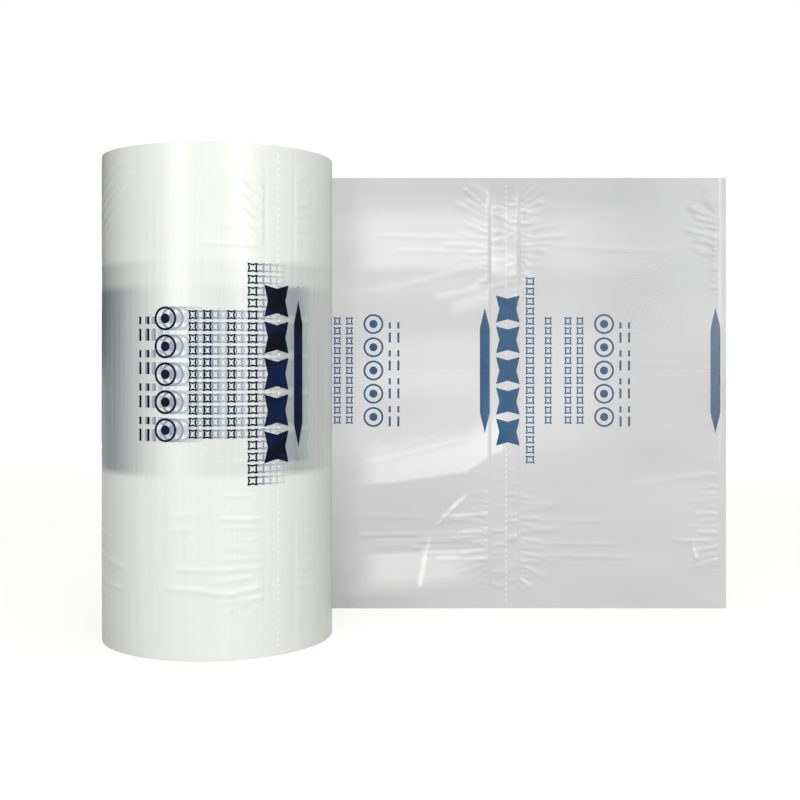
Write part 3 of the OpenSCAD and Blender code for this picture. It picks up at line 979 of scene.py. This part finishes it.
# Solid print: every flat shape is set on the film by onSurface, once at each of two lifts
def makePrint(name, marks, onSurface, lift, thickness, material, low, high, shift=0.0, firstShape=0):
    points, faces, start = [], [], 0
    for mark in marks:
        for place, reach, grid, heights, closed in printShapes()[firstShape:]:
            middle = mark + place + shift
            if middle - reach / 2 < low or middle + reach / 2 > high:
                continue
            w = middle - grid[None, :, :, 0] + 0 * heights[:, None, None]
            z = printLayout["middle"] + grid[None, :, :, 1] + heights[:, None, None]
            both = np.stack([onSurface(w, z, lift + thickness), onSurface(w, z, lift)], 1)
            points.append(both.reshape(-1, 3))
            across, up = grid.shape[:2]
            one = shellFaces(across, up, wrap=closed)
            copies = start + 2 * across * up * np.arange(heights.size)
            faces.append((one[None] + copies[:, None, None]).reshape(-1, 4))
            start += 2 * across * up * heights.size
    return makePiece(name, np.concatenate(points), np.concatenate(faces), material)


rollPrint = makePrint("rollPrint", rollMarks, onRoll, 0.10, 0.03, navyInk, 6 - turnL, 0)
tailPrint = makePrint("tailPrint", tailMarks, onTail, 0.03, 0.04, blueInk, 3, tailL - 1)

# Print of the turns below, which shows through the clear turns above it. It is drawn just off the
# surface, because the wound film is drawn opaque, and each turn's print is a step out of line. The
# haze of still lower turns lies over it too.
ghostLook = {
    "step": 3.0,  # mm from one turn's print to the next
    "tones": ["#8E9BAD", "#B5BDC6", "#CCD1D4", "#DBDEDE"],
    "lift": 0.03,
    "layer": 0.016,
}
ghosts = []
for k, tone in enumerate(ghostLook["tones"]):
    under = makeWoundFilm("inkUnderFilm" + str(k + 1), tone)
    lift = ghostLook["lift"] + ghostLook["layer"] * (len(ghostLook["tones"]) - 1 - k)
    ghost = makePrint("printUnder" + str(k + 1), rollMarks, onRoll, lift, 0.01, under,
                      6 - turnL, 0, shift=-ghostLook["step"] * (k + 1), firstShape=2 if k == 0 else 1)
    spots = np.empty(3 * len(ghost.data.vertices), np.float32)
    ghost.data.vertices.foreach_get("co", spots)
    x, y, z = spots.reshape(-1, 3).T / mm
    addValues(ghost, "haze", inkHaze((math.pi / 2 - np.arctan2(y, x)) * rollR, z))
    ghosts.append(ghost)


floorLook = {
    "half": 8.0,
    "drop": 0.0002,  # metres under the roll, so that the two faces don't meet
    "paper": "#848482",
    "glow": (0.80, 0.925),  # near the roll and far from it, where the lamps add less of the white
    "fade": (0.15, 1.6),  # metres from the roll
    "mirrored": 0.55,  # share of the glow in reflections
}


# A plain white floor: diffuse paper that keeps the object's shadow, with a glow for the eye only
def makeFloor():
    material, tree, place = newMaterial("floorPaper")
    paths = addNode(tree, "LightPath").outputs
    mirrored = addNode(tree, "Math", {0: paths["Is Glossy Ray"], 1: floorLook["mirrored"]},
                       operation="MULTIPLY")
    seen = addNode(tree, "Math", {0: paths["Is Camera Ray"], 1: mirrored}, operation="MAXIMUM")
    seen = addNode(tree, "Math", {0: seen, 1: paths["Is Transmission Ray"]}, operation="MAXIMUM")
    distance = addNode(tree, "VectorMath", {0: place}, operation="LENGTH").outputs["Value"]
    white = addNode(tree, "MapRange", {
        "Value": distance, "From Min": floorLook["fade"][0], "From Max": floorLook["fade"][1],
        "To Min": floorLook["glow"][0], "To Max": floorLook["glow"][1],
    }, interpolation_type="SMOOTHSTEP")
    level = addNode(tree, "Math", {0: seen, 1: white}, operation="MULTIPLY")
    glow = addNode(tree, "Emission", {"Color": (1, 1, 1, 1), "Strength": level})
    paper = addNode(tree, "BsdfDiffuse", {"Color": hexColour(floorLook["paper"])})
    closeMaterial(material, addNode(tree, "AddShader", {0: glow, 1: paper}))
    half, drop = floorLook["half"], floorLook["drop"]
    mesh = bpy.data.meshes.new("floor")
    corners = [(x * half, y * half, -drop) for x, y in ((-1, -1), (1, -1), (1, 1), (-1, 1))]
    mesh.from_pydata(corners, [], [(0, 1, 2, 3)])
    mesh.materials.append(material)
    floor = bpy.data.objects.new("floor", mesh)
    bpy.context.scene.collection.objects.link(floor)


makeFloor()

worldLook = {"left": 0.03, "right": 0.66, "back": 1.2}


# The surroundings: white where they are looked at or through, and else a soft studio grey that
# brightens from the left to the right, with a bright wall behind
def makeWorld():
    world = bpy.data.worlds.new("studio")
    bpy.context.scene.world = world
    world.use_nodes = True
    tree = world.node_tree
    tree.nodes.clear()
    direction = addNode(tree, "TexCoord").outputs["Generated"]
    axes = addNode(tree, "SeparateXYZ", {0: direction}).outputs
    sides = addNode(tree, "MapRange", {
        "Value": axes["X"], "From Min": -0.7, "From Max": 0.7,
        "To Min": worldLook["left"], "To Max": worldLook["right"],
    }, interpolation_type="SMOOTHSTEP")
    wall = addNode(tree, "MapRange", {
        "Value": axes["Y"], "From Min": 0.35, "From Max": 0.95, "To Min": 0.0, "To Max": 1.0,
    }, interpolation_type="SMOOTHSTEP")
    paths = addNode(tree, "LightPath").outputs
    matt = addNode(tree, "Math", {0: 1.0, 1: paths["Is Glossy Ray"]}, operation="SUBTRACT")
    wall = addNode(tree, "Math", {0: wall, 1: matt}, operation="MULTIPLY")
    level = addNode(tree, "Mix", {0: wall, 2: sides, 3: worldLook["back"]}, data_type="FLOAT")
    seen = addNode(tree, "Math", {0: paths["Is Camera Ray"], 1: paths["Is Transmission Ray"]},
                   operation="MAXIMUM")
    strength = addNode(tree, "Mix", {0: seen, 2: level, 3: 1.0}, data_type="FLOAT")
    ground = addNode(tree, "Background", {"Color": (1, 1, 1, 1), "Strength": strength})
    addNode(tree, "OutputWorld", {"Surface": ground})


makeWorld()
print("floor and surroundings set")

finishes = {
    "film": [outerTurn, woundTurns, looseEnd], "core_board": [boardCore],
    "ink_dark": [rollPrint] + ghosts, "ink_blue": [tailPrint],
}
for slot, pieces in finishes.items():
    for piece in pieces:
        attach(piece, "root")
for piece in (outerTurn, woundTurns, looseEnd):
    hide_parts("film_web")
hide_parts("paper_core")
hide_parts("print_on_roll")
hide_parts("print_on_tail")

print("pieces ride on the frame")
